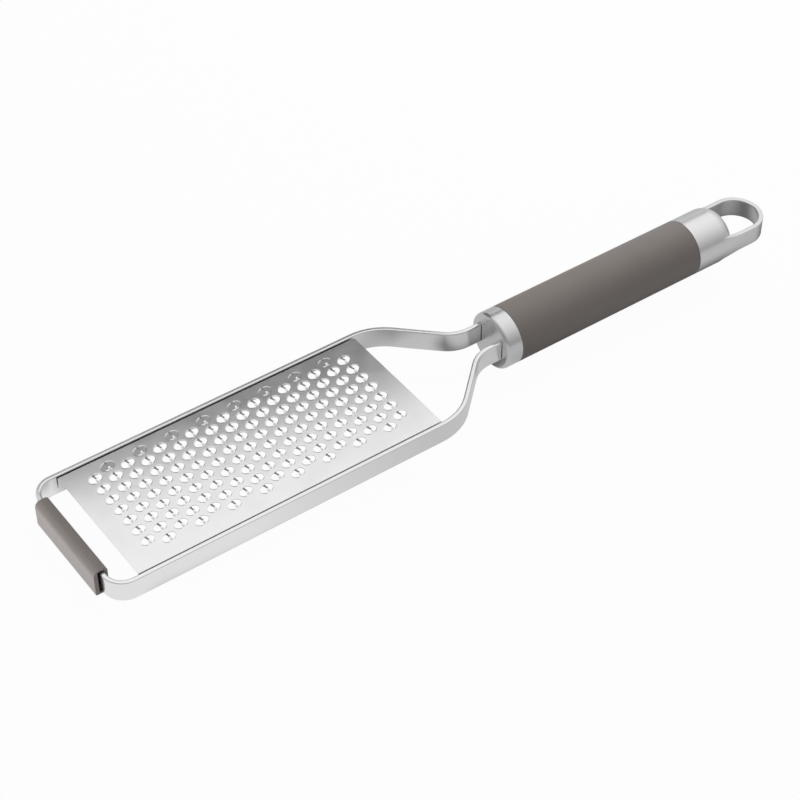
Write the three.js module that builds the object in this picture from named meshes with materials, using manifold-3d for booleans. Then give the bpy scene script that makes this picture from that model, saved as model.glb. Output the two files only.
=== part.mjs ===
// Hand grater: a bent flat-bar frame carries a toothed sheet, and a round handle holds the frame's tangs.
// Millimetres. +X runs from the front bar to the hanging loop, +Y across the sheet, +Z out of the teeth.
// Origin: under the middle of the front bar, on the soft foot's underside.

import * as THREE from 'three';
import { mergeVertices } from 'three/addons/utils/BufferGeometryUtils.js';
import Module from 'manifold-3d';

// Clearances
const fit = 0.3; // round a piece that passes through, or slides into, another
const seat = 0.1; // between flat faces that meet along the handle

// Frame: one flat bar, bent into a yoke
const barThickness = 2;
const barHeight = 9.5;
const frameWidth = 65; // over the rails' outer faces
const frontRadius = 9; // outer radius of the front corners
const shoulderRadius = 25; // outer radius where a rail turns in to its diagonal
const throatRadius = 14; // radius on the outside face where a diagonal turns into its tang
const railLength = 157.5; // front face to the point where rail and diagonal lines cross
const diagonalReach = 26; // along X, from that point to where the tang line begins
const tangRun = 11.5; // from there to the handle's front face
const tangDepth = 36; // inside the handle
const neckStep = 1; // taken off both edges of the bar inside the handle

// Toothed sheet, a shallow channel between the rails
const sheetThickness = 0.6;
const plateLength = 136.7;
const plateSetback = 9.6; // open gap behind the front bar
const plateDrop = 0.6; // sheet's top below the bar's top edge
const flangeDepth = 6.5; // down from the sheet's top
const bendInside = 0.2; // inner radius of the flange bend

// Two-way teeth: an oval hole crossed, a little aslant, by a raised strap
const toothPitch = 14.28; // along a row
const rowPitch = 3.22; // between rows, each shifted half a tooth pitch
const rowShift = 1.9; // the pattern sits this far from the middle, towards +Y
const columnShift = 0.25; // and this far towards +X
const holeLength = 5.6;
const holeWidth = 4.4;
const strapWidth = 0.9;
const strapSlant = THREE.MathUtils.degToRad(16); // from square across the row, +Y end towards +X
const strapRise = 1; // of the strap's crest above the sheet
const strapThickness = 0.5;
const strapRoot = 0.55; // the strap's feet reach this far past the hole's rim
const strapFoot = 0.5; // the feet end this far below the sheet's top
const endMargin = 7; // least sheet between a hole and the plate's ends
const edgeMargin = 3.5; // least sheet between a hole and the rails

// Foot: soft channel pushed over the front bar
const footLength = 44;
const footWall = 1.8; // outer wall
const footTop = 0.9;
const footFloor = 0.8;
const hookWall = 1.2; // inner hook
const hookDepth = 4; // hook's reach below the bar's top edge
const footGap = 0.7; // between outer wall and bar
const footSlack = 0.5; // above and below the bar
const footRound = 2; // upper outer edge
const hookRound = 1.2; // upper inner edge
const footEdge = 0.6; // lower outer edge

// Handle: ferrule, sleeve and cap share one diameter
const handleRadius = 12.5;
const handleAxisHeight = 4.2; // above the bar's bottom edge
const ferruleLength = 7.5;
const ferruleFace = 3; // thickness of the ferrule's front wall
const ferruleRound = 1.6;
const gripLength = 95.5;
const gripWall = 2;
const gripRound = 0.3;
const coreSkin = 1.2; // of the core outside a tang's corners, clearance included

// End cap and hanging loop
const capLength = 20.7; // without the loop
const capSocket = 12; // depth that the core reaches into the cap
const capRound = 7;
const loopReach = 21.8; // beyond the cap's rounded end
const loopHalfWidth = 11.8;
const loopWall = 2.1;
const loopHeight = 8.7;

// Inner fixings
const pinRadius = 1.5;
const pinSetback = 11; // from the tangs' ends
const pinInset = 1; // pin's ends below the core's surface
const studRadius = 3;
const studInCap = 5;
const studInCore = 20;

// Facets
const facetError = 0.03; // how far a facet may stray from its arc
const turnFacets = 36;
const ovalFacets = 8;
const strapTopFacets = 4;
const strapUnderFacets = 2;
const loopFacets = 22;
const smallFacets = 12;
const beyond = 2; // how far a cutter runs past the piece that it cuts

// Places that follow from the sizes
const frontFace = -barThickness / 2;
const rail = frameWidth / 2;
const shoulderX = frontFace + railLength;
const throatX = shoulderX + diagonalReach;
const handleFront = throatX + tangRun;
const gripFront = handleFront + ferruleLength;
const gripRear = gripFront + gripLength;
const capRear = gripRear + capLength;
const tangEnd = handleFront + tangDepth;
const barBottom = footFloor + footSlack;
const barTop = barBottom + barHeight;
const barMiddle = barBottom + barHeight / 2;
const handleAxis = barBottom + handleAxisHeight;
const boreRadius = handleRadius - gripWall;
const coreRadius = boreRadius - fit;
const neckHeight = barHeight - 2 * neckStep;
const neckReach = neckHeight / 2 + Math.abs(barMiddle - handleAxis);
const tangFace = Math.sqrt((coreRadius - coreSkin) ** 2 - neckReach ** 2);
const tangMiddle = tangFace - barThickness / 2;
const plateTop = barTop - plateDrop;
const plateFront = frontFace + barThickness + plateSetback;
const plateWidth = frameWidth - 2 * (barThickness + fit);

const wasm = await Module();
wasm.setup();

// Closed three.js geometry to a solid that can be joined and cut
function solid(geometry) {
  const bare = geometry.clone();
  bare.deleteAttribute('normal');
  bare.deleteAttribute('uv');
  const merged = mergeVertices(bare);
  const corners = merged.index.array;
  const triangles = [];
  for (let i = 0; i < corners.length; i += 3) {
    const [a, b, c] = corners.slice(i, i + 3);
    if (a !== b && b !== c && c !== a) triangles.push(a, b, c);
  }
  const mesh = new wasm.Mesh({
    numProp: 3,
    vertProperties: Float32Array.from(merged.attributes.position.array),
    triVerts: Uint32Array.from(triangles),
  });
  return new wasm.Manifold(mesh);
}

function geometryOf(manifold) {
  const mesh = manifold.getMesh();
  const geometry = new THREE.BufferGeometry();
  geometry.setAttribute('position', new THREE.BufferAttribute(Float32Array.from(mesh.vertProperties), 3));
  geometry.setIndex(new THREE.BufferAttribute(Uint32Array.from(mesh.triVerts), 1));
  geometry.computeVertexNormals();
  return geometry;
}

// Points of an arc that rounds one corner of an outline
function roundedCorner(before, corner, after, radius) {
  const back = before.clone().sub(corner).normalize();
  const on = after.clone().sub(corner).normalize();
  const half = back.angleTo(on) / 2;
  const middle = back.clone().add(on).normalize();
  const centre = corner.clone().addScaledVector(middle, radius / Math.sin(half));
  const start = corner.clone().addScaledVector(back, radius / Math.tan(half)).sub(centre);
  const end = corner.clone().addScaledVector(on, radius / Math.tan(half)).sub(centre);
  const turn = Math.atan2(start.cross(end), start.dot(end));
  const step = 2 * Math.acos(Math.max(0, 1 - facetError / radius));
  const steps = Math.max(2, Math.ceil(Math.abs(turn) / step));
  const points = [];
  for (let i = 0; i <= steps; i += 1) {
    const point = start.clone().rotateAround(new THREE.Vector2(), (turn * i) / steps);
    points.push(point.add(centre));
  }
  return points;
}

// Closed outline whose corners have radii; a radius of 0 leaves the corner sharp
function roundedOutline(corners) {
  const points = corners.map(({ x, y }) => new THREE.Vector2(x, y));
  const count = points.length;
  return points.flatMap((point, i) => {
    const { radius } = corners[i];
    if (!radius) return [point];
    return roundedCorner(points[(i + count - 1) % count], point, points[(i + 1) % count], radius);
  });
}

// Outline in X and Y, raised along Z
function raised(points, bottom, height) {
  const geometry = new THREE.ExtrudeGeometry(new THREE.Shape(points), { depth: height, bevelEnabled: false });
  return geometry.translate(0, 0, bottom);
}

// Section in Y and Z, drawn out along X
function drawnAlongX(points, start, length) {
  const geometry = raised(points, start, length);
  const turn = new THREE.Matrix4();
  turn.makeBasis(new THREE.Vector3(0, 1, 0), new THREE.Vector3(0, 0, 1), new THREE.Vector3(1, 0, 0));
  return geometry.applyMatrix4(turn);
}

// Section in X and Z, drawn out along Y to both sides of the middle
function drawnAlongY(points, length) {
  const geometry = raised(points, -length / 2, length);
  const turn = new THREE.Matrix4();
  turn.makeBasis(new THREE.Vector3(1, 0, 0), new THREE.Vector3(0, 0, 1), new THREE.Vector3(0, -1, 0));
  return geometry.applyMatrix4(turn);
}

// Profile of radius over X, turned about the handle's axis
function turned(profile, facets) {
  const points = profile.map(({ x, y }) => new THREE.Vector2(y, x));
  const geometry = new THREE.LatheGeometry(points, facets);
  geometry.rotateZ(-Math.PI / 2);
  return geometry.translate(0, 0, handleAxis);
}

// Plain rod along X, centred on the handle's axis
function rodAlongX(radius, start, length) {
  const geometry = new THREE.CylinderGeometry(radius, radius, length, smallFacets);
  geometry.rotateZ(-Math.PI / 2);
  return geometry.translate(start + length / 2, 0, handleAxis);
}

function block(sizeX, sizeY, sizeZ, x, y, z) {
  return new THREE.BoxGeometry(sizeX, sizeY, sizeZ).translate(x, y, z);
}

// One face of the bent bar, moved in from the outer face by inset
function barFace(inset) {
  const slope = new THREE.Vector2(diagonalReach, tangFace - rail).normalize();
  const shoulderMove = inset * Math.tan(Math.acos(slope.x) / 2);
  const far = [
    { x: tangEnd, y: tangFace - inset, radius: 0 },
    { x: throatX - shoulderMove, y: tangFace - inset, radius: throatRadius + inset },
    { x: shoulderX - shoulderMove, y: rail - inset, radius: shoulderRadius - inset },
    { x: frontFace + inset, y: rail - inset, radius: frontRadius - inset },
  ];
  const near = far.map(({ x, y, radius }) => ({ x, y: -y, radius })).reverse();
  return [...far, ...near];
}

// Cross pin, and the hole that clears it
const pinX = tangEnd - pinSetback;

function pinRod(radius, length) {
  const geometry = new THREE.CylinderGeometry(radius, radius, length, smallFacets);
  return geometry.translate(pinX, 0, barMiddle);
}

// Bent bar with necked tangs, drilled for the cross pin
function frameStrip() {
  const outline = roundedOutline([...barFace(0), ...barFace(barThickness).reverse()]);
  const bar = solid(raised(outline, barBottom, barHeight));
  const neckFront = handleFront - seat;
  const cutLength = tangEnd + beyond - neckFront;
  const cutWidth = 2 * (tangFace + beyond);
  const cutMiddle = neckFront + cutLength / 2;
  const cutHeight = neckStep + beyond;
  const under = block(cutLength, cutWidth, cutHeight, cutMiddle, 0, barBottom + neckStep - cutHeight / 2);
  const over = block(cutLength, cutWidth, cutHeight, cutMiddle, 0, barTop - neckStep + cutHeight / 2);
  const drill = solid(pinRod(pinRadius + fit, cutWidth));
  return geometryOf(bar.subtract(solid(under)).subtract(solid(over)).subtract(drill));
}

// Where the teeth stand, in staggered rows whose long and short rows alternate
function toothPlaces() {
  const roomAcross = plateWidth / 2 - Math.abs(rowShift) - edgeMargin - holeWidth / 2;
  const sideRows = Math.floor(roomAcross / rowPitch);
  const roomAlong = plateLength - 2 * (endMargin + Math.abs(columnShift)) - holeLength;
  const longRow = Math.floor(roomAlong / toothPitch) + 1;
  const middle = plateFront + plateLength / 2 + columnShift;
  const places = [];
  for (let row = -sideRows; row <= sideRows; row += 1) {
    const count = row % 2 === 0 ? longRow : longRow - 1;
    for (let i = 0; i < count; i += 1) {
      const x = middle + (i - (count - 1) / 2) * toothPitch;
      places.push([x, rowShift + row * rowPitch]);
    }
  }
  return places;
}

// Oval whose flats, and not its corners, lie at the hole's length and width
function holeOutline() {
  const stretch = 1 / Math.cos(Math.PI / ovalFacets);
  const points = [];
  for (let i = 0; i < ovalFacets; i += 1) {
    const angle = ((i + 0.5) * 2 * Math.PI) / ovalFacets;
    const x = (holeLength / 2) * stretch * Math.cos(angle);
    points.push(new THREE.Vector2(x, (holeWidth / 2) * stretch * Math.sin(angle)));
  }
  return points;
}

// Half ring of an ellipse in Y and Z: the side view of one strap before it is turned aslant
function strapSection() {
  const foot = plateTop - strapFoot;
  const reach = (holeWidth / 2 + strapRoot) / Math.cos(strapSlant);
  const rise = strapRise + strapFoot;
  const top = new THREE.EllipseCurve(0, foot, reach, rise, 0, Math.PI);
  const under = new THREE.EllipseCurve(0, foot, reach - strapThickness, rise - strapThickness, Math.PI, 0, true);
  return [...top.getPoints(strapTopFacets), ...under.getPoints(strapUnderFacets)];
}

// Sheet with bent-down flanges, punched and lanced
function gratingPlate() {
  const half = plateWidth / 2;
  const bottom = plateTop - flangeDepth;
  const bendOutside = bendInside + sheetThickness;
  const section = roundedOutline([
    { x: -half, y: bottom, radius: 0 },
    { x: -half + sheetThickness, y: bottom, radius: 0 },
    { x: -half + sheetThickness, y: plateTop - sheetThickness, radius: bendInside },
    { x: half - sheetThickness, y: plateTop - sheetThickness, radius: bendInside },
    { x: half - sheetThickness, y: bottom, radius: 0 },
    { x: half, y: bottom, radius: 0 },
    { x: half, y: plateTop, radius: bendOutside },
    { x: -half, y: plateTop, radius: bendOutside },
  ]);
  const punchHeight = sheetThickness + 2 * beyond;
  const punch = solid(raised(holeOutline(), plateTop + beyond - punchHeight, punchHeight));
  const strap = solid(drawnAlongX(strapSection(), -strapWidth / 2, strapWidth).rotateZ(-strapSlant));
  const places = toothPlaces();
  const punches = places.map(([x, y]) => punch.translate(x, y, 0));
  const straps = places.map(([x, y]) => strap.translate(x, y, 0));
  const sheet = solid(drawnAlongX(section, plateFront, plateLength));
  return geometryOf(sheet.subtract(wasm.Manifold.union(punches)).add(wasm.Manifold.union(straps)));
}

// Soft channel: floor, outer wall and top round the bar, and a hook behind it
function frontFoot() {
  const wallInside = frontFace - footGap;
  const barInside = frontFace + barThickness;
  const hookInside = barInside + fit;
  const outside = wallInside - footWall;
  const under = barTop + footSlack;
  const section = roundedOutline([
    { x: barInside, y: 0, radius: 0 },
    { x: barInside, y: footFloor, radius: 0 },
    { x: wallInside, y: footFloor, radius: 0 },
    { x: wallInside, y: under, radius: 0 },
    { x: hookInside, y: under, radius: 0 },
    { x: hookInside, y: barTop - hookDepth, radius: 0 },
    { x: hookInside + hookWall, y: barTop - hookDepth, radius: 0 },
    { x: hookInside + hookWall, y: under + footTop, radius: hookRound },
    { x: outside, y: under + footTop, radius: footRound },
    { x: outside, y: 0, radius: footEdge },
  ]);
  return geometryOf(solid(drawnAlongY(section, footLength)));
}

// Steel cup with a slot for each tang
function ferrule() {
  const floor = handleFront + ferruleFace;
  const profile = roundedOutline([
    { x: handleFront, y: 0, radius: 0 },
    { x: handleFront, y: handleRadius, radius: ferruleRound },
    { x: gripFront, y: handleRadius, radius: 0 },
    { x: gripFront, y: boreRadius, radius: 0 },
    { x: floor, y: boreRadius, radius: 0 },
    { x: floor, y: 0, radius: 0 },
  ]);
  const cup = solid(turned(profile, turnFacets));
  const slotWidth = barThickness + 2 * fit;
  const slotHeight = neckHeight + 2 * fit;
  const slot = block(ferruleFace + 2 * beyond, slotWidth, slotHeight, handleFront + ferruleFace / 2, 0, barMiddle);
  const slots = solid(slot);
  return geometryOf(cup.subtract(slots.translate(0, tangMiddle, 0)).subtract(slots.translate(0, -tangMiddle, 0)));
}

// Moulded core with pockets for the tangs, the cross hole and the stud's hole
function handleCore() {
  const front = handleFront + ferruleFace + seat;
  const rear = gripRear + capSocket - seat;
  const body = solid(turned(roundedOutline([
    { x: front, y: 0, radius: 0 },
    { x: front, y: coreRadius, radius: 0 },
    { x: rear, y: coreRadius, radius: 0 },
    { x: rear, y: 0, radius: 0 },
  ]), turnFacets));
  const pocketLength = tangEnd + fit - front + beyond;
  const pocket = solid(block(pocketLength, barThickness + 2 * fit, neckHeight + 2 * fit,
    front - beyond + pocketLength / 2, 0, barMiddle));
  const pinHole = solid(pinRod(pinRadius + fit, 2 * (coreRadius + beyond)));
  const studHole = solid(rodAlongX(studRadius + fit, rear - studInCore - fit, studInCore + fit + beyond));
  return geometryOf(body
    .subtract(pocket.translate(0, tangMiddle, 0))
    .subtract(pocket.translate(0, -tangMiddle, 0))
    .subtract(pinHole)
    .subtract(studHole));
}

// Soft-touch tube between ferrule and cap
function gripSleeve() {
  const profile = roundedOutline([
    { x: gripFront + seat, y: boreRadius, radius: 0 },
    { x: gripFront + seat, y: handleRadius, radius: gripRound },
    { x: gripRear - seat, y: handleRadius, radius: gripRound },
    { x: gripRear - seat, y: boreRadius, radius: 0 },
  ]);
  profile.push(profile[0].clone());
  return geometryOf(solid(turned(profile, turnFacets)));
}

// Half circle in X and Y that bulges towards +X
function halfCircle(x, radius) {
  const arc = new THREE.EllipseCurve(x, 0, radius, radius, -Math.PI / 2, Math.PI / 2);
  return arc.getPoints(loopFacets);
}

// Cap with a rounded end, and a flat hanging loop that grows out of its sides
function endCap() {
  const floor = gripRear + capSocket;
  const body = solid(turned(roundedOutline([
    { x: floor, y: 0, radius: 0 },
    { x: floor, y: boreRadius, radius: 0 },
    { x: gripRear, y: boreRadius, radius: 0 },
    { x: gripRear, y: handleRadius, radius: 0 },
    { x: capRear, y: handleRadius, radius: capRound },
    { x: capRear, y: 0, radius: 0 },
  ]), turnFacets));
  const legStart = capRear - capRound;
  const loopEnd = capRear + loopReach;
  const opening = loopHalfWidth - loopWall;
  const bendX = loopEnd - loopHalfWidth;
  const band = [
    new THREE.Vector2(legStart, -loopHalfWidth),
    ...halfCircle(bendX, loopHalfWidth),
    new THREE.Vector2(legStart, loopHalfWidth),
    new THREE.Vector2(legStart, opening),
    ...halfCircle(bendX, opening).reverse(),
    new THREE.Vector2(legStart, -opening),
  ];
  const loop = solid(raised(band, handleAxis - loopHeight / 2, loopHeight));
  const studHole = solid(rodAlongX(studRadius + fit, floor - beyond, studInCap + fit + beyond));
  return geometryOf(body.add(loop).subtract(studHole));
}

function tangPin() {
  return pinRod(pinRadius, 2 * (coreRadius - pinInset));
}

function capStud() {
  const start = gripRear + capSocket - seat - studInCore;
  return rodAlongX(studRadius, start, studInCore + seat + studInCap);
}

// Materials
const steel = new THREE.MeshStandardMaterial({ color: 0xd2d2d3, roughness: 0.35, metalness: 1 });
const softGrey = new THREE.MeshStandardMaterial({ color: 0x7d7772, roughness: 0.7, metalness: 0 });
const moulding = new THREE.MeshStandardMaterial({ color: 0x4a4744, roughness: 0.6, metalness: 0 });

const grater = new THREE.Group();

function place(name, geometry, material) {
  const mesh = new THREE.Mesh(geometry, material);
  mesh.name = name;
  grater.add(mesh);
}

place('frame_strip', frameStrip(), steel);
place('grating_plate', gratingPlate(), steel);
place('front_foot', frontFoot(), softGrey);
place('ferrule', ferrule(), steel);
place('handle_core', handleCore(), moulding);
place('grip_sleeve', gripSleeve(), softGrey);
place('end_cap', endCap(), steel);
place('tang_pin', tangPin(), steel);
place('cap_stud', capStud(), steel);

export default grater;
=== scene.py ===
# Hand grater of stainless steel, with a soft foot and a round soft-grip handle.
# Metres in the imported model's own frame: +X from the front bar to the loop, +Y across, +Z out of the teeth.
import math

import bmesh
import bpy
from mathutils import Matrix, Vector


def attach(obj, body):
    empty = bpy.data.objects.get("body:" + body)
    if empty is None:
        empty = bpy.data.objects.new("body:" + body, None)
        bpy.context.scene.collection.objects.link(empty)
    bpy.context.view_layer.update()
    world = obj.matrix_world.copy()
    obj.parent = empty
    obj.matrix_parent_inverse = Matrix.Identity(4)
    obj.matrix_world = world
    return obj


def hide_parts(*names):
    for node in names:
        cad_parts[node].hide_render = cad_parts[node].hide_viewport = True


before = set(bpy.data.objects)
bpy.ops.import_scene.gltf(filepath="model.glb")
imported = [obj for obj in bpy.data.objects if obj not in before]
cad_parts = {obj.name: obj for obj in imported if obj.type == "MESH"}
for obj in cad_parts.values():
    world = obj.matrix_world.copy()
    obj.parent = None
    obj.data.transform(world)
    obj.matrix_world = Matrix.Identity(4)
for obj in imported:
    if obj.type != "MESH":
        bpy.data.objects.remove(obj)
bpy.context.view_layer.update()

# Frame bar: one strip of flat stainless steel, bent on edge into a yoke. The front bar, both rails, both
# diagonals and the two tangs are the same strip, 2 mm thick and 9.5 mm high.
# It was brushed along its length and its edges were broken. Each tang is necked where the handle takes it.
mm = 0.001
bar_thickness = 2.0
bar_height = 9.5
bar_bottom = 1.3
bar_middle = bar_bottom + bar_height / 2
bar_edge = 0.6
neck_start = 193.9
neck_height = 7.5
far_half_of_bar = [
    (230.0, 6.906, 0.0),
    (182.1, 6.906, 15.0),
    (156.1, 31.5, 24.0),
    (0.0, 31.5, 8.0),
]
near_half_of_bar = [(x, -y, radius) for x, y, radius in reversed(far_half_of_bar)]
arc_step = math.radians(4)
sharp_angle = math.radians(35)
# Nearly all values of a noise texture lie between these two.
noise_low = 0.3
noise_high = 0.7


def linear(colour):
    """Linear RGBA of an sRGB hex colour."""
    parts = [int(colour[i:i + 2], 16) / 255 for i in (1, 3, 5)]
    return [c / 12.92 if c <= 0.04045 else ((c + 0.055) / 1.055) ** 2.4 for c in parts] + [1.0]


def rounded(corners, closed):
    """Points of a line in a plane whose corners (x, y, radius) are rounded."""
    points = []
    for i, (x, y, radius) in enumerate(corners):
        corner = Vector((x, y))
        if radius == 0:
            points.append(corner)
            continue
        back = (Vector(corners[i - 1][:2]) - corner).normalized()
        on = (Vector(corners[(i + 1) % len(corners)][:2]) - corner).normalized()
        half = back.angle(on) / 2
        centre = corner + (back + on).normalized() * radius / math.sin(half)
        start = corner + back * radius / math.tan(half) - centre
        end = corner + on * radius / math.tan(half) - centre
        turn = math.atan2(start.x * end.y - start.y * end.x, start.dot(end))
        steps = max(3, math.ceil(abs(turn) / arc_step))
        points += [centre + Matrix.Rotation(turn * k / steps, 2) @ start for k in range(steps + 1)]
    return points + [points[0].copy()] if closed else points


def rounded_box(width, height, radius, middle):
    """Closed section of a flat strip: offsets across it and heights, with rounded edges."""
    side = width / 2
    bottom = middle - height / 2
    top = middle + height / 2
    corners = [(-side, bottom), (side, bottom), (side, top), (-side, top)]
    return rounded([(across, up, radius) for across, up in corners], closed=True)


def mapped(body, grid):
    """Faces between the rows of a grid of (vertex, u, v), with u and v as the piece's map of lengths.
    Where a row shrinks to a pole, its corners fall together and the face is a triangle."""
    lengths = body.loops.layers.uv.get("lengths") or body.loops.layers.uv.new("lengths")
    for row, following in zip(grid, grid[1:]):
        for a in range(len(row) - 1):
            distinct = []
            for corner in (row[a], row[a + 1], following[a + 1], following[a]):
                if corner[0] not in [other[0] for other in distinct]:
                    distinct.append(corner)
            if len(distinct) < 3:
                continue
            face = body.faces.new([corner[0] for corner in distinct])
            for loop, corner in zip(face.loops, distinct):
                loop[lengths].uv = corner[1:]


def placed(name, data):
    """A new object in the scene for a mesh, a lamp or a camera."""
    made = bpy.data.objects.new(name, data)
    bpy.context.scene.collection.objects.link(made)
    return made


def as_object(name, body):
    """A bmesh in millimetres as a new object in metres, with its faces pointing out and smooth."""
    bmesh.ops.recalc_face_normals(body, faces=body.faces)
    for face in body.faces:
        face.smooth = True
    bmesh.ops.scale(body, vec=(mm, mm, mm), verts=body.verts)
    mesh = bpy.data.meshes.new(name)
    body.to_mesh(mesh)
    body.free()
    return placed(name, mesh)


def swept(name, path, section_at):
    """Solid strip: its section carried along a path in plan, with capped ends."""
    body = bmesh.new()
    grid = []
    along = 0.0
    for i, point in enumerate(path):
        before = path[max(i - 1, 0)]
        after = path[min(i + 1, len(path) - 1)]
        along += (point - before).length
        across = (after - before).normalized().orthogonal()
        section = section_at(point)
        ring = []
        for offset, height in section[:-1]:
            place = point + across * offset
            ring.append(body.verts.new((place.x, place.y, height)))
        ring.append(ring[0])
        around = 0.0
        row = []
        for j, vertex in enumerate(ring):
            if j:
                around += (section[j] - section[j - 1]).length
            row.append((vertex, along * mm, around * mm))
        grid.append(row)
    mapped(body, grid)
    for row in (grid[0], grid[-1]):
        body.faces.new([corner[0] for corner in row[:-1]])
    return as_object(name, body)


def dressed(piece, material, node):
    """Sharp edges, clean shading and a material, and the solid that the piece stands for."""
    piece.data.set_sharp_from_angle(angle=sharp_angle)
    shading = piece.modifiers.new("even_shading", "WEIGHTED_NORMAL")
    shading.keep_sharp = True
    piece.data.materials.clear()
    piece.data.materials.append(material)
    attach(piece, "root")
    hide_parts(node)


def new_material(name):
    """A material with an empty node tree, and that tree."""
    material = bpy.data.materials.new(name)
    material.use_nodes = True
    material.node_tree.nodes.clear()
    return material, material.node_tree


def add(tree, kind, links=None, **settings):
    """One node with its settings; links gives each named input a value or another node's output."""
    made = tree.nodes.new(kind)
    for key, value in settings.items():
        setattr(made, key, value)
    for socket, source in (links or {}).items():
        if isinstance(source, bpy.types.NodeSocket):
            tree.links.new(source, made.inputs[socket])
        else:
            made.inputs[socket].default_value = source
    return made


def brushed_stainless_steel(
        name, light, dark, streak_length, streak_width, smoothest, roughest, directional):
    """Stainless steel linished with a belt: long fine streaks along the map's first direction.
    They widen highlights across themselves and change the gloss and tone a little from line to line.
    Belt scratches are about 0.05 mm wide, and are drawn several times wider so that they show."""
    scratch_depth = 0.02 * mm
    material, tree = new_material(name)
    lengths = add(tree, "ShaderNodeUVMap", uv_map="lengths")
    stretched = add(tree, "ShaderNodeMapping", {
        "Vector": lengths.outputs["UV"],
        "Scale": (1 / (streak_length * mm), 1 / (streak_width * mm), 1.0),
    })
    streaks = add(tree, "ShaderNodeTexNoise", {
        "Vector": stretched.outputs["Vector"], "Scale": 1.0, "Detail": 4.0, "Roughness": 0.6,
    })
    gloss = add(tree, "ShaderNodeMapRange", {
        "Value": streaks.outputs["Fac"], "From Min": noise_low, "From Max": noise_high,
        "To Min": smoothest, "To Max": roughest,
    })
    tone = add(tree, "ShaderNodeMixRGB", {
        "Fac": streaks.outputs["Fac"], "Color1": linear(dark), "Color2": linear(light),
    })
    scratches = add(tree, "ShaderNodeBump", {
        "Height": streaks.outputs["Fac"], "Strength": 0.12, "Distance": scratch_depth,
    })
    grain = add(tree, "ShaderNodeTangent", direction_type="UV_MAP", uv_map="lengths")
    surface = add(tree, "ShaderNodeBsdfPrincipled", {
        "Base Color": tone.outputs["Color"], "Metallic": 1.0, "Roughness": gloss.outputs["Result"],
        "Anisotropic": directional, "Anisotropic Rotation": 0.25,
        "Tangent": grain.outputs["Tangent"], "Normal": scratches.outputs["Normal"],
    })
    add(tree, "ShaderNodeOutputMaterial", {"Surface": surface.outputs["BSDF"]})
    return material


def bar_section(point):
    """The strip's section at a point of its line: full height outside the handle, necked inside it."""
    height = neck_height if point.x > neck_start else bar_height
    return rounded_box(bar_thickness, height, bar_edge, bar_middle)


bar_line = rounded(far_half_of_bar + near_half_of_bar, closed=False)
neck_far = Vector((neck_start, far_half_of_bar[0][1]))
neck_near = Vector((neck_start, near_half_of_bar[-1][1]))
step_of_neck = Vector((0.01, 0.0))
bar_line = bar_line[:1] + [neck_far + step_of_neck, neck_far] + bar_line[1:-1]
bar_line += [neck_near, neck_near + step_of_neck, Vector(near_half_of_bar[-1][:2])]
bar = swept("frame_bar", bar_line, bar_section)
bar_steel = brushed_stainless_steel(
    "brushed_stainless_bar", "#ebebec", "#e4e4e5", streak_length=24.0, streak_width=0.25,
    smoothest=0.18, roughest=0.24, directional=0.6)
dressed(bar, bar_steel, "frame_strip")

# Toothed sheet: 0.6 mm stainless steel, a shallow channel whose long edges are bent down inside the rails.
# Each tooth was lanced and pressed in one stroke: a strap stands up across an oval hole and cuts both ways.
# Away from the straps the sheet is drawn half as thick, so that no dark ring shows round the holes.
strap_thickness = 0.6
sheet_thickness = 0.3
sheet_top = 10.2
sheet_front = 10.6
sheet_rear = 147.3
sheet_half_width = 29.9
sheet_bend = 0.3
sheet_edge_break = 0.07
flange_bottom = 3.7
tooth_pitch = 14.28
row_pitch = 3.22
long_row = 9
side_rows = 7
pattern_x = 79.2
pattern_y = 1.9
hole_length = 5.9
hole_width = 4.3
hole_skew = 0.15
rim_points = 48
rim_margin = 0.26
rim_margin_stretch = 1.7
root_points = (10, 11, 12, 13, 14)
strap_rise = 0.75
strap_width = 0.85
strap_root_width = 1.4
strap_flare_start = 0.5
strap_reach = 0.97
strap_lean = 0.5
strap_flat = 0.42
strap_bevel = 0.1
strap_rows = 14
patch_x = tooth_pitch / 4
patch_y = row_pitch
sheet_shape = bmesh.new()
sheet_map = sheet_shape.loops.layers.uv.new("lengths")
full_gauge = sheet_shape.verts.layers.deform.verify()
known_points = {}


def sheet_point(x, y, z):
    """The vertex at a place on the sheet, shared by all the patches that meet there."""
    key = (round(x, 4), round(y, 4), round(z, 4))
    if key not in known_points:
        known_points[key] = sheet_shape.verts.new(key)
        known_points[key][full_gauge][0] = 0.0 if z <= sheet_top else 1.0
    return known_points[key]


def sheet_face(corners):
    """One face of the sheet's upper side."""
    face = sheet_shape.faces.new([sheet_point(*corner) for corner in corners])
    for loop in face.loops:
        loop[sheet_map].uv = (loop.vert.co.x * mm, loop.vert.co.y * mm)


def sheet_grid(columns, rows):
    """Faces over a grid: columns are x values and rows are (y, z) values."""
    for x0, x1 in zip(columns, columns[1:]):
        for (y0, z0), (y1, z1) in zip(rows, rows[1:]):
            sheet_face([(x0, y0, z0), (x1, y0, z0), (x1, y1, z1), (x0, y1, z1)])


def oval(x, y, grow):
    """Points round a tooth's slightly skewed hole, widened by grow."""
    points = []
    for k in range(rim_points):
        turn = 2 * math.pi * k / rim_points
        along = (hole_length / 2 + grow) * math.cos(turn)
        across = (hole_width / 2 + rim_margin_stretch * grow) * math.sin(turn) + hole_skew * along
        points.append((x + along, y + across, sheet_top))
    return points


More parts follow.
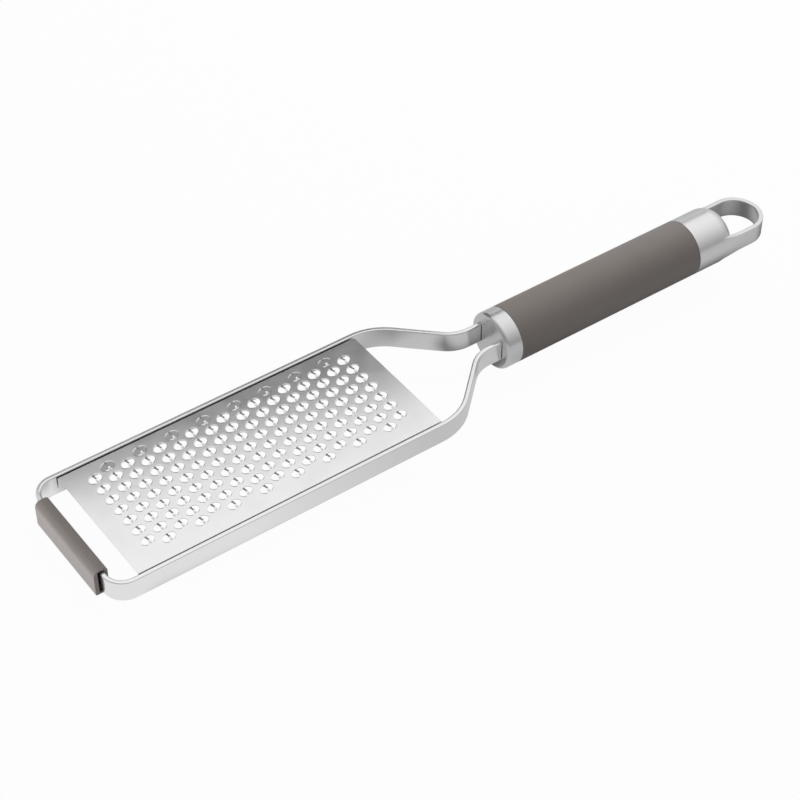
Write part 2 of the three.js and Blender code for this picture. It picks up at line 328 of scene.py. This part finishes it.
def strap_points(x, y):
    """Rows of points along a strap between its roots. The crest leans towards the near root."""
    rows = []
    for i in range(1, strap_rows):
        along = 2 * i / strap_rows - 1
        flare = max(0.0, (abs(along) - strap_flare_start) / (1 - strap_flare_start)) ** 2
        width = strap_width + (strap_root_width - strap_width) * flare
        leaning = along + strap_lean * (1 - along ** 2)
        top = sheet_top + strap_rise * (1 - leaning ** 2)
        across = hole_width / 2 * strap_reach * along
        edge_drop = strap_bevel * (1 - along ** 8)
        section = [(-0.5, edge_drop), (-strap_flat, 0.0), (0.0, 0.0), (strap_flat, 0.0), (0.5, edge_drop)]
        rows.append([(x + width * side, y + across, top - drop) for side, drop in section])
    return rows


def tooth(x, y):
    """One patch of sheet with its oval hole and raised strap, whose two long edges are bevelled."""
    edge = [(patch_x, 0), (patch_x, patch_y / 2), (patch_x, patch_y), (patch_x / 2, patch_y), (0, patch_y)]
    edge += [(-across, along) for across, along in reversed(edge[:-1])]
    edge += [(across, -along) for across, along in reversed(edge[1:-1])]
    edge = [(x + across, y + along, sheet_top) for across, along in edge]
    outer = oval(x, y, rim_margin)
    rim = oval(x, y, 0.0)
    for k, corner in enumerate(edge):
        before, level, after = outer[3 * k - 1], outer[3 * k], outer[3 * k + 1]
        following = outer[(3 * k + 2) % rim_points]
        sheet_face([corner, level, before])
        sheet_face([corner, after, level])
        sheet_face([corner, edge[(k + 1) % len(edge)], following, after])
    for k in range(rim_points):
        following = (k + 1) % rim_points
        sheet_face([outer[k], outer[following], rim[following], rim[k]])
    near_root = [rim[k + rim_points // 2] for k in root_points]
    far_root = [rim[k] for k in reversed(root_points)]
    strap = [near_root] + strap_points(x, y) + [far_root]
    for row, following in zip(strap, strap[1:]):
        for a in range(len(row) - 1):
            sheet_face([row[a], row[a + 1], following[a + 1], following[a]])


def softened(piece, width, segments, least_angle):
    """Rounds every edge of the piece that is sharper than an angle."""
    edges = piece.modifiers.new("softened_edges", "BEVEL")
    edges.width = width * mm
    edges.segments = segments
    edges.limit_method = "ANGLE"
    edges.angle_limit = math.radians(least_angle)


# The rows are staggered, so every tooth has a patch of sheet to itself and the patches fit like bricks.
for row in range(-side_rows, side_rows + 1):
    count = long_row - row % 2
    for i in range(count):
        tooth(pattern_x + (i - (count - 1) / 2) * tooth_pitch, pattern_y + row * row_pitch)
last_column = 2 * (2 * long_row - 1)
last_row = 2 * (side_rows + 1)
field_columns = [pattern_x + k * patch_x / 2 for k in range(-last_column, last_column + 1)]
field_rows = [pattern_y + k * patch_y / 2 for k in range(-last_row, last_row + 1)]
for i in range(long_row):
    gap_middle = pattern_x + (i - (long_row - 1) / 2) * tooth_pitch
    gap_columns = [gap_middle + k * patch_x / 2 for k in range(-2, 3)]
    sheet_grid(gap_columns, [(y, sheet_top) for y in field_rows[:3]])
    sheet_grid(gap_columns, [(y, sheet_top) for y in field_rows[-3:]])
side_levels = [(y, sheet_top) for y in field_rows]
sheet_grid([sheet_front, field_columns[0]], side_levels)
sheet_grid([field_columns[-1], sheet_rear], side_levels)
flange = rounded([
    (sheet_half_width, flange_bottom, 0.0),
    (sheet_half_width, sheet_top, sheet_bend),
    (field_rows[-1], sheet_top, 0.0),
], closed=False)
near_flange = [(-point.x, point.y) for point in flange[:-1]] + [(field_rows[0], sheet_top)]
all_columns = [sheet_front] + field_columns + [sheet_rear]
sheet_grid(all_columns, [tuple(point) for point in reversed(flange)])
sheet_grid(all_columns, near_flange)
sheet = as_object("toothed_sheet", sheet_shape)
if sheet.data.polygons[0].normal.z < 0:
    sheet.data.flip_normals()
gauge = sheet.modifiers.new("gauge", "SOLIDIFY")
gauge.thickness = strap_thickness * mm
gauge.offset = -1.0
gauge.vertex_group = sheet.vertex_groups.new(name="full_gauge").name
gauge.thickness_vertex_group = sheet_thickness / strap_thickness
softened(sheet, sheet_edge_break, segments=2, least_angle=55)


def satin_stainless_sheet(name, colour, smoothest, roughest):
    """Cold-rolled stainless sheet with a fine satin finish: smooth enough for broad soft reflections.
    Rolling leaves faint clouds of gloss some 8 mm across and a grain of about 0.2 mm.
    Pressing leaves the straps as dull as the dullest of the sheet."""
    cloud_size = 8 * mm
    grain_size = 0.2 * mm
    grain_depth = 0.01 * mm
    dulling_start = (sheet_top + 0.02) * mm
    dulling_end = (sheet_top + 0.3) * mm
    material, tree = new_material(name)
    place = add(tree, "ShaderNodeTexCoord")
    clouds = add(tree, "ShaderNodeTexNoise", {
        "Vector": place.outputs["Object"], "Scale": 1 / cloud_size, "Detail": 2.0,
    })
    grain = add(tree, "ShaderNodeTexNoise", {
        "Vector": place.outputs["Object"], "Scale": 1 / grain_size, "Detail": 2.0,
    })
    rolled_gloss = add(tree, "ShaderNodeMapRange", {
        "Value": clouds.outputs["Fac"], "From Min": noise_low, "From Max": noise_high,
        "To Min": smoothest, "To Max": roughest,
    })
    height = add(tree, "ShaderNodeSeparateXYZ", {"Vector": place.outputs["Object"]})
    gloss = add(tree, "ShaderNodeMapRange", {
        "Value": height.outputs["Z"], "From Min": dulling_start, "From Max": dulling_end,
        "To Min": rolled_gloss.outputs["Result"], "To Max": roughest,
    })
    texture = add(tree, "ShaderNodeBump", {
        "Height": grain.outputs["Fac"], "Strength": 0.04, "Distance": grain_depth,
    })
    surface = add(tree, "ShaderNodeBsdfPrincipled", {
        "Base Color": linear(colour), "Metallic": 1.0, "Roughness": gloss.outputs["Result"],
        "Normal": texture.outputs["Normal"],
    })
    add(tree, "ShaderNodeOutputMaterial", {"Surface": surface.outputs["BSDF"]})
    return material


sheet_steel = satin_stainless_sheet("satin_stainless_sheet", "#e6e6e7", smoothest=0.17, roughest=0.22)
dressed(sheet, sheet_steel, "grating_plate")

# Front foot: a soft extruded channel, cut to 44 mm and pushed over the front bar so the tool doesn't slip.
# Floor, outer wall and top go round the bar, and a short hook behind it keeps the channel on.
# The upper outer edge is well rounded, and the cut ends are square.
foot_length = 44.0
foot_reach = 3.5
foot_edge = 0.25
foot_corners = [
    (1.0, 0.0, 0.2),
    (1.0, 0.8, 0.2),
    (-1.7, 0.8, 0.3),
    (-1.7, 11.3, 0.3),
    (1.3, 11.3, 0.3),
    (1.3, 6.8, 0.2),
    (2.5, 6.8, 0.4),
    (2.5, 12.2, 1.6),
    (-foot_reach, 12.2, 2.8),
    (-foot_reach, 0.0, 0.8),
]


def foot_section(point):
    """The channel's section, the same all along the front bar. Offsets run forwards, against x."""
    return rounded([(-x, z, radius) for x, z, radius in foot_corners], closed=True)


foot_line = [Vector((0.0, -foot_length / 2)), Vector((0.0, foot_length / 2))]
foot = swept("soft_foot", foot_line, foot_section)
softened(foot, foot_edge, segments=3, least_angle=60)


def soft_touch_rubber(name, light, dark, roughness, grain_size, grain_depth):
    """Thermoplastic rubber or plastic as moulded: matt, with a fine spark-eroded grain and faint clouds.
    The grain of such a mould is about 0.1 mm, and it is drawn coarser so that it shows."""
    cloud_size = 14 * mm
    roughness_play = 0.06
    material, tree = new_material(name)
    place = add(tree, "ShaderNodeTexCoord")
    clouds = add(tree, "ShaderNodeTexNoise", {
        "Vector": place.outputs["Object"], "Scale": 1 / cloud_size, "Detail": 3.0,
    })
    grain = add(tree, "ShaderNodeTexNoise", {
        "Vector": place.outputs["Object"], "Scale": 1 / (grain_size * mm), "Detail": 3.0, "Roughness": 0.7,
    })
    tone = add(tree, "ShaderNodeMixRGB", {
        "Fac": clouds.outputs["Fac"], "Color1": linear(dark), "Color2": linear(light),
    })
    gloss = add(tree, "ShaderNodeMapRange", {
        "Value": grain.outputs["Fac"], "From Min": noise_low, "From Max": noise_high,
        "To Min": roughness - roughness_play, "To Max": roughness + roughness_play,
    })
    texture = add(tree, "ShaderNodeBump", {
        "Height": grain.outputs["Fac"], "Strength": 0.25, "Distance": grain_depth * mm,
    })
    surface = add(tree, "ShaderNodeBsdfPrincipled", {
        "Base Color": tone.outputs["Color"], "Roughness": gloss.outputs["Result"], "IOR": 1.48,
        "Normal": texture.outputs["Normal"],
    })
    add(tree, "ShaderNodeOutputMaterial", {"Surface": surface.outputs["BSDF"]})
    return material


foot_rubber = soft_touch_rubber(
    "extruded_rubber_foot", "#827b78", "#7b7471", roughness=0.32, grain_size=0.4, grain_depth=0.02)
dressed(foot, foot_rubber, "front_foot")

# Ferrule: a drawn stainless cup that closes the front of the handle, with a slot for each tang.
# It was brushed while it turned, so its streaks run round the axis, and its front edge is rolled over.
handle_axis = 5.5
handle_radius = 12.5
handle_bore = 10.5
ferrule_front = 194.0
ferrule_rear = 201.5
ferrule_face = 3.0
ferrule_roll = 1.6
steel_lip = 0.15
slot_play = 0.3
slot_overrun = 2.0
round_steps = 128
same_place = 0.0001


def turned(name, profile):
    """Profile of (x, radius) turned about the handle's axis. Its map has lengths round it and along it."""
    body = bmesh.new()
    lengths = [0.0]
    for a, b in zip(profile, profile[1:]):
        lengths.append(lengths[-1] + (b - a).length)
    step = 2 * math.pi * handle_radius / round_steps
    rings = []
    for (x, radius), along in zip(profile, lengths):
        pole = body.verts.new((x, 0.0, handle_axis)) if radius == 0 else None
        ring = []
        for k in range(round_steps):
            turn = 2 * math.pi * k / round_steps
            place = (x, radius * math.cos(turn), handle_axis + radius * math.sin(turn))
            ring.append(pole or body.verts.new(place))
        ring.append(ring[0])
        rings.append([(vertex, k * step * mm, along * mm) for k, vertex in enumerate(ring)])
    mapped(body, rings)
    bmesh.ops.remove_doubles(body, verts=body.verts, dist=same_place)
    return as_object(name, body)


def shaped(piece, other, operation):
    """The piece with another solid cut out of it or joined to it."""
    change = piece.modifiers.new("shape", "BOOLEAN")
    change.operation = operation
    change.object = other
    change.solver = "EXACT"
    graph = bpy.context.evaluated_depsgraph_get()
    mesh = bpy.data.meshes.new_from_object(piece.evaluated_get(graph))
    piece.modifiers.clear()
    piece.data = mesh
    bpy.data.objects.remove(other)


def slot_section(point):
    """The section of a tang's slot: the necked tang with play all round."""
    return rounded_box(bar_thickness + 2 * slot_play, neck_height + 2 * slot_play, bar_edge, bar_middle)


ferrule = turned("ferrule_cup", rounded([
    (ferrule_front, 0.0, 0.0),
    (ferrule_front, handle_radius, ferrule_roll),
    (ferrule_rear, handle_radius, steel_lip),
    (ferrule_rear, handle_bore, 0.0),
    (ferrule_front + ferrule_face, handle_bore, 0.0),
    (ferrule_front + ferrule_face, 0.0, 0.0),
], closed=False))
for side in (1, -1):
    tang_y = side * far_half_of_bar[0][1]
    slot_start = Vector((ferrule_front - slot_overrun, tang_y))
    slot_end = Vector((ferrule_front + ferrule_face + slot_overrun, tang_y))
    shaped(ferrule, swept("slot", [slot_start, slot_end], slot_section), "DIFFERENCE")
ferrule_steel = brushed_stainless_steel(
    "brushed_stainless_ferrule", "#dededf", "#cfcfd0", streak_length=30.0, streak_width=0.22,
    smoothest=0.24, roughest=0.36, directional=0.6)
dressed(ferrule, ferrule_steel, "ferrule")

# Grip sleeve: a soft-touch tube moulded over the handle's core, flush with the steel at both ends.
# It is plain, matt and warm grey, with its end edges barely broken.
grip_front = 201.6
grip_rear = 296.9
grip_edge = 0.3
grip = turned("grip_sleeve_skin", rounded([
    (grip_front, handle_bore, 0.0),
    (grip_front, handle_radius, grip_edge),
    (grip_rear, handle_radius, grip_edge),
    (grip_rear, handle_bore, 0.0),
], closed=True))
grip_rubber = soft_touch_rubber(
    "moulded_soft_touch_grip", "#837c78", "#7c7571", roughness=0.6, grain_size=0.35, grain_depth=0.02)
dressed(grip, grip_rubber, "grip_sleeve")

# End cap: a stainless cup with a rounded end, and a flat steel band bent into a hanging loop.
# The band's legs are joined to the cup's sides, where they grow taller and follow its curve.
# The cup is brushed round the axis and the band along its length.
cap_front = 297.0
cap_rear = 317.7
cap_socket = 309.0
cap_round = 7.0
loop_end = 339.5
loop_half_width = 11.8
loop_wall = 2.1
loop_height = 8.7
leg_overlap = 7.5
leg_steps = 12
band_flare = 4.5
band_flare_start = 0.3
band_edge = 0.45
cap = turned("end_cap_cup", rounded([
    (cap_socket, 0.0, 0.0),
    (cap_socket, handle_bore, 0.0),
    (cap_front, handle_bore, 0.0),
    (cap_front, handle_radius, steel_lip),
    (cap_rear, handle_radius, cap_round),
    (cap_rear, 0.0, 0.0),
], closed=False))
band_line = loop_half_width - loop_wall / 2
bend_radius = 0.999 * band_line
bend_start = loop_end - loop_half_width
leg_start = cap_rear - leg_overlap
leg = [leg_start + (bend_start - leg_start) * k / leg_steps for k in range(leg_steps)]
near_leg = [Vector((x, -band_line)) for x in leg]
far_leg = [Vector((x, band_line)) for x in reversed(leg)]
bend = rounded([
    (leg_start, -band_line, 0.0),
    (loop_end - loop_wall / 2, -band_line, bend_radius),
    (loop_end - loop_wall / 2, band_line, bend_radius),
    (leg_start, band_line, 0.0),
], closed=False)
loop_line = near_leg + bend[1:-1] + far_leg


def band_section(point):
    """The band's section: near the cap it is taller and its outer face lies on the cap's cylinder."""
    near_cap = min(1.0, max(0.0, (bend_start - point.x) / (bend_start - leg_start)))
    half = loop_height / 2 + band_flare * max(0.0, near_cap - band_flare_start) ** 2
    flat = half - band_edge
    upper = []
    for turn in [math.radians(degrees) for degrees in (90, 60, 30, 0)]:
        upper.append((flat + band_edge * math.sin(turn), band_edge * (1 - math.cos(turn))))
    upper += [(flat * share, 0.0) for share in (0.75, 0.5, 0.25)]
    levels = upper + [(0.0, 0.0)] + [(-up, edge) for up, edge in reversed(upper)]
    outer_face = []
    inner_face = []
    for up, edge in levels:
        bulge = math.sqrt(handle_radius ** 2 - up ** 2) - loop_half_width
        outer_face.append(Vector((edge - loop_wall / 2 - bulge * near_cap, handle_axis + up)))
        inner_face.append(Vector((loop_wall / 2 - edge, handle_axis + up)))
    section = outer_face + inner_face[::-1]
    return section + section[:1]


shaped(cap, swept("loop", loop_line, band_section), "UNION")
cap_steel = brushed_stainless_steel(
    "brushed_stainless_cap", "#e6e6e7", "#d8d8d9", streak_length=30.0, streak_width=0.22,
    smoothest=0.26, roughest=0.38, directional=0.6)
dressed(cap, cap_steel, "end_cap")

# Handle's inside: a moulded core, the cross pin through both tangs and the stud that draws the cap on.
# None of it shows while the handle is whole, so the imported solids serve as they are.
core_plastic = soft_touch_rubber(
    "moulded_core_plastic", "#4d4a47", "#454240", roughness=0.5, grain_size=0.5, grain_depth=0.03)
pin_steel = brushed_stainless_steel(
    "turned_stainless_pin", "#d0d0d1", "#c4c4c5", streak_length=8.0, streak_width=0.2,
    smoothest=0.25, roughest=0.35, directional=0.0)
for node, material in (("handle_core", core_plastic), ("tang_pin", pin_steel), ("cap_stud", pin_steel)):
    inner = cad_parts[node]
    inner.data.materials.clear()
    inner.data.materials.append(material)

# Studio floor: a pale matt plane that the foot and the ferrule rest on. It keeps the tool's shadow.
# The camera sees it nearly white. Metal sees a painted brightness instead: white at the foot and greyer
# towards the handle, a painted fall-off of light, and darker in the three areas that the tool itself shades,
# which is painted shade: start, end, half width, soft edge and shade.
floor_size = 6.0
floor_play = 0.2 * mm
floor_whiteness = 0.97
foot_level = 0.92
handle_level = 0.64
level_start = 0.06
level_end = 0.15
painted_shade_areas = (
    (0.01, 0.148, 0.029, 0.008, 0.55),
    (0.162, 0.196, 0.002, 0.005, 0.7),
    (0.2, 0.36, 0.008, 0.018, 0.75),
)
rest_slope = math.atan2(handle_radius - handle_axis, ferrule_front + foot_reach)
floor_shape = bmesh.new()
bmesh.ops.create_grid(floor_shape, x_segments=1, y_segments=1, size=floor_size / 2)
floor_mesh = bpy.data.meshes.new("floor")
floor_shape.to_mesh(floor_mesh)
floor_shape.free()
floor = placed("floor", floor_mesh)
floor.rotation_euler = (0.0, rest_slope, 0.0)
floor.location = (0.0, 0.0, -floor_play)
floor_paint, tree = new_material("pale_studio_floor")
ray = add(tree, "ShaderNodeLightPath")
floor_coordinates = add(tree, "ShaderNodeTexCoord")
spot = add(tree, "ShaderNodeSeparateXYZ", {"Vector": floor_coordinates.outputs["Object"]})
off_line = add(tree, "ShaderNodeMath", {0: spot.outputs["Y"]}, operation="ABSOLUTE")
# Painted reflection: the floor's brightness for metal falls off towards the handle, and each area below
# darkens it with painted shade.
floor_level = add(tree, "ShaderNodeMapRange", {
    "Value": spot.outputs["X"], "From Min": level_start, "From Max": level_end,
    "To Min": foot_level, "To Max": handle_level,
})
for shade_start, shade_end, shade_side, soft_edge, shade in painted_shade_areas:
    begins = add(tree, "ShaderNodeMapRange", {
        "Value": spot.outputs["X"], "From Min": shade_start, "From Max": shade_start + soft_edge,
    })
    ends = add(tree, "ShaderNodeMapRange", {
        "Value": spot.outputs["X"], "From Min": shade_end + soft_edge, "From Max": shade_end,
    })
    beside = add(tree, "ShaderNodeMapRange", {
        "Value": off_line.outputs[0], "From Min": shade_side + soft_edge, "From Max": shade_side,
    })
    between = add(tree, "ShaderNodeMath", {
        0: begins.outputs[0], 1: ends.outputs[0],
    }, operation="MULTIPLY")
    inside = add(tree, "ShaderNodeMath", {
        0: between.outputs[0], 1: beside.outputs[0],
    }, operation="MULTIPLY")
    left = add(tree, "ShaderNodeMath", {
        0: inside.outputs[0], 1: -shade, 2: 1.0,
    }, operation="MULTIPLY_ADD")
    floor_level = add(tree, "ShaderNodeMath", {
        0: floor_level.outputs[0], 1: left.outputs[0],
    }, operation="MULTIPLY")
mirrored = add(tree, "ShaderNodeMath", {
    0: ray.outputs["Is Glossy Ray"], 1: ray.outputs["Is Transmission Ray"],
}, operation="MAXIMUM")
in_view = add(tree, "ShaderNodeMath", {
    0: ray.outputs["Is Camera Ray"], 1: floor_whiteness,
}, operation="MULTIPLY")
whiteness = add(tree, "ShaderNodeMath", {
    0: mirrored.outputs[0], 1: in_view.outputs[0],
}, operation="MAXIMUM")
brightness = add(tree, "ShaderNodeMapRange", {
    "Value": mirrored.outputs[0], "To Min": 1.0, "To Max": floor_level.outputs[0],
})
matt = add(tree, "ShaderNodeBsdfDiffuse", {"Color": linear("#c8c8c8")})
white = add(tree, "ShaderNodeEmission", {
    "Color": linear("#ffffff"), "Strength": brightness.outputs["Result"],
})
floor_surface = add(tree, "ShaderNodeMixShader", {
    "Fac": whiteness.outputs[0], 1: matt.outputs["BSDF"], 2: white.outputs["Emission"],
})
add(tree, "ShaderNodeOutputMaterial", {"Surface": floor_surface.outputs["Shader"]})
floor_mesh.materials.append(floor_paint)

# Studio dome: soft light from all round, brightest overhead, behind the tool and towards its handle.
# The camera sees it white, and matt surfaces take an even fill from it.
horizon_level = 0.4
overhead_level = 1.06
overhead_height = 0.95
front_share = 0.75
back_share = 1.25
foot_share = 0.55
handle_share = 1.3
fill_level = 0.33
world = bpy.data.worlds.new("studio_dome")
bpy.context.scene.world = world
world.use_nodes = True
tree = world.node_tree
tree.nodes.clear()
dome_coordinates = add(tree, "ShaderNodeTexCoord")
direction = add(tree, "ShaderNodeSeparateXYZ", {"Vector": dome_coordinates.outputs["Generated"]})
glow = add(tree, "ShaderNodeMapRange", {
    "Value": direction.outputs["Z"], "From Min": 0.0, "From Max": overhead_height,
    "To Min": horizon_level, "To Max": overhead_level,
})
towards_back = add(tree, "ShaderNodeMapRange", {
    "Value": direction.outputs["Y"], "From Min": -1.0, "From Max": 1.0,
    "To Min": front_share, "To Max": back_share,
})
towards_handle = add(tree, "ShaderNodeMapRange", {
    "Value": direction.outputs["X"], "From Min": -1.0, "From Max": 1.0,
    "To Min": foot_share, "To Max": handle_share,
})
sides = add(tree, "ShaderNodeMath", {
    0: towards_back.outputs["Result"], 1: towards_handle.outputs["Result"],
}, operation="MULTIPLY")
shaded = add(tree, "ShaderNodeMath", {
    0: glow.outputs["Result"], 1: sides.outputs[0],
}, operation="MULTIPLY")
ray = add(tree, "ShaderNodeLightPath")
lighting = add(tree, "ShaderNodeMixRGB", {
    "Fac": ray.outputs["Is Diffuse Ray"], "Color1": shaded.outputs[0],
    "Color2": (fill_level, fill_level, fill_level, 1.0),
})
dome_level = add(tree, "ShaderNodeMixRGB", {
    "Fac": ray.outputs["Is Camera Ray"], "Color1": lighting.outputs[0], "Color2": linear("#ffffff"),
})
dome = add(tree, "ShaderNodeBackground", {"Color": dome_level.outputs["Color"], "Strength": 1.0})
add(tree, "ShaderNodeOutputWorld", {"Surface": dome.outputs["Background"]})


# Studio lamps: a softbox behind the handle, and a low strip that lights the foot's outer face.
# Metal doesn't mirror them.
def softbox(name, place, target, width, height, radiance):
    """Rectangular lamp at a place, facing a target, of a given radiance."""
    lamp = bpy.data.lights.new(name, "AREA")
    lamp.shape = "RECTANGLE"
    lamp.size = width
    lamp.size_y = height
    lamp.energy = radiance * math.pi * width * height
    stand = placed(name, lamp)
    stand.location = place
    aim = Vector(target) - Vector(place)
    stand.rotation_euler = aim.to_track_quat("-Z", "Y").to_euler()
    stand.visible_camera = False
    stand.visible_glossy = False


softbox("key_light", (0.6, 0.3, 0.5), (0.25, 0.0, 0.0), width=0.4, height=0.4, radiance=6.7)
softbox("front_side_light", (-0.6, -0.1, 0.07), (0.0, 0.0, 0.0), width=0.4, height=0.1, radiance=33.0)

# Grey card: it stands upright behind the tool, and only metal sees it. It glows grey by itself, a painted
# reflection, and its upper edge is where the sheet turns from bright to grey. It is painted a little lighter
# where the handle's steel mirrors it.
card_y = 0.18
card_outline = [
    (0.03, 0.03), (0.25, 0.03), (0.26, 0.12), (0.5, 0.12),
    (0.5, 0.17), (0.31, 0.17), (0.3, 0.228), (0.03, 0.17),
]
card_turn_start = 0.26
card_turn_end = 0.36
card_mesh = bpy.data.meshes.new("grey_card")
card_mesh.from_pydata([(x, card_y, z) for x, z in card_outline], [], [range(len(card_outline))])
card = placed("grey_card", card_mesh)
card.visible_camera = False
card.visible_diffuse = False
card.visible_shadow = False
card_paint, tree = new_material("grey_studio_card")
card_coordinates = add(tree, "ShaderNodeTexCoord")
card_spot = add(tree, "ShaderNodeSeparateXYZ", {"Vector": card_coordinates.outputs["Object"]})
# Painted reflection tone: the card is lighter towards the handle, where the handle's steel mirrors it.
rearward = add(tree, "ShaderNodeMapRange", {
    "Value": card_spot.outputs["X"], "From Min": card_turn_start, "From Max": card_turn_end,
})
card_tone = add(tree, "ShaderNodeMixRGB", {
    "Fac": rearward.outputs["Result"], "Color1": linear("#777777"), "Color2": linear("#929292"),
})
grey = add(tree, "ShaderNodeEmission", {"Color": card_tone.outputs["Color"], "Strength": 1.0})
add(tree, "ShaderNodeOutputMaterial", {"Surface": grey.outputs["Emission"]})
card_mesh.materials.append(card_paint)

# Camera: a long lens at the photograph's place, looking down along the tool from its near front side.
# It is shifted a little to the left and down, so that the tool lies where it does in the photograph.
view_azimuth = math.radians(-35.66)
view_elevation = math.radians(43.44)
view_distance = 0.87113
view_target = Vector((0.1698, 0.0, 0.0063))
shift_right = -0.01703
shift_up = -0.01467
right = Vector((math.cos(view_azimuth), math.sin(view_azimuth), 0.0))
back = Vector((
    math.sin(view_azimuth) * math.cos(view_elevation),
    -math.cos(view_azimuth) * math.cos(view_elevation),
    math.sin(view_elevation),
))
up = back.cross(right)
lens = bpy.data.cameras.new("camera")
lens.sensor_width = 36.0
lens.lens = 97.277
lens.clip_start = 0.01
camera = placed("camera", lens)
eye = view_target + back * view_distance + right * shift_right + up * shift_up
camera.matrix_world = Matrix.Translation(eye) @ Matrix((right, up, back)).transposed().to_4x4()
bpy.context.scene.camera = camera
bpy.context.scene.view_settings.view_transform = "Standard"

bpy.context.view_layer.update()
